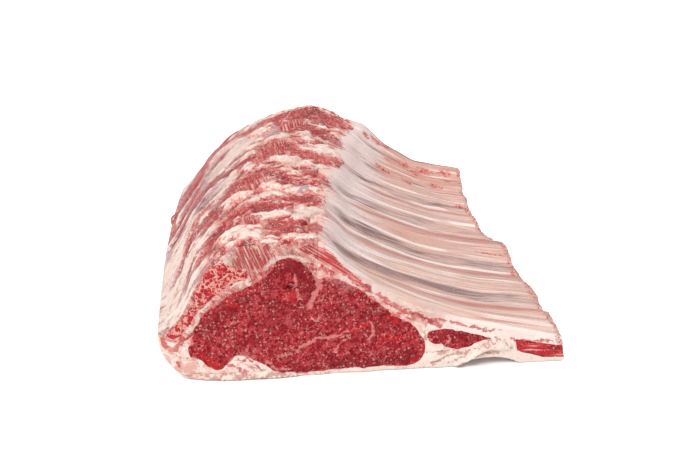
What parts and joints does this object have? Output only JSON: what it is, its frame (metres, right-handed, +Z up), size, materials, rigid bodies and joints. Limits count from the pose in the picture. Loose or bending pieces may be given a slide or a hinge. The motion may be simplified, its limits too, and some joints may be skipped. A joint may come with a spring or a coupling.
{
  "type": "bone-in beef rib rack",
  "caption": "Bone-in beef rib rack lying fat side down: a domed spine end with the round eye muscle at its cut face, sloping under ribs and membrane to the sawn rib ends.",
  "frame": {"origin": "middle of the footprint, on the flat base of the fat cap", "axes": "+X across the cut face from the spine side to the sawn rib ends, +Y along the spine from the near cut face to the far one, +Z up"},
  "size_m": [0.292, 0.32, 0.1077],
  "materials": {
    "lean_meat": "moist, finely marbled raw red meat",
    "raw_strip": "moist bright red raw meat, coarse cut",
    "marrow_bone": "porous sawn bone with red marrow",
    "sawn_bone": "cream bone and gristle, slightly moist",
    "rib_bone": "ribs under a thin skin, with porous sawn ends",
    "rib_membrane": "glossy cream and mauve membrane, streaked along the ribs",
    "spine_meat": "torn pink and red meat with white skin, streaked",
    "fat": "cream to white fat, slightly waxy"
  },
  "bodies": {
    "root": {"eye_muscle": "lean_meat", "tail_muscle": "lean_meat", "end_strip": "raw_strip", "spine_bone": "marrow_bone", "bone_stub_1": "sawn_bone", "bone_stub_2": "sawn_bone", "bone_stub_3": "sawn_bone", "bone_stub_4": "sawn_bone", "bone_stub_5": "sawn_bone", "rib_1": "rib_bone", "rib_2": "rib_bone", "rib_3": "rib_bone", "rib_4": "rib_bone", "rib_5": "rib_bone", "rib_6": "rib_bone", "rib_7": "rib_bone", "rib_wall": "rib_membrane", "spine_meat": "spine_meat", "fat_cap": "fat"}
  },
  "joints": []
}
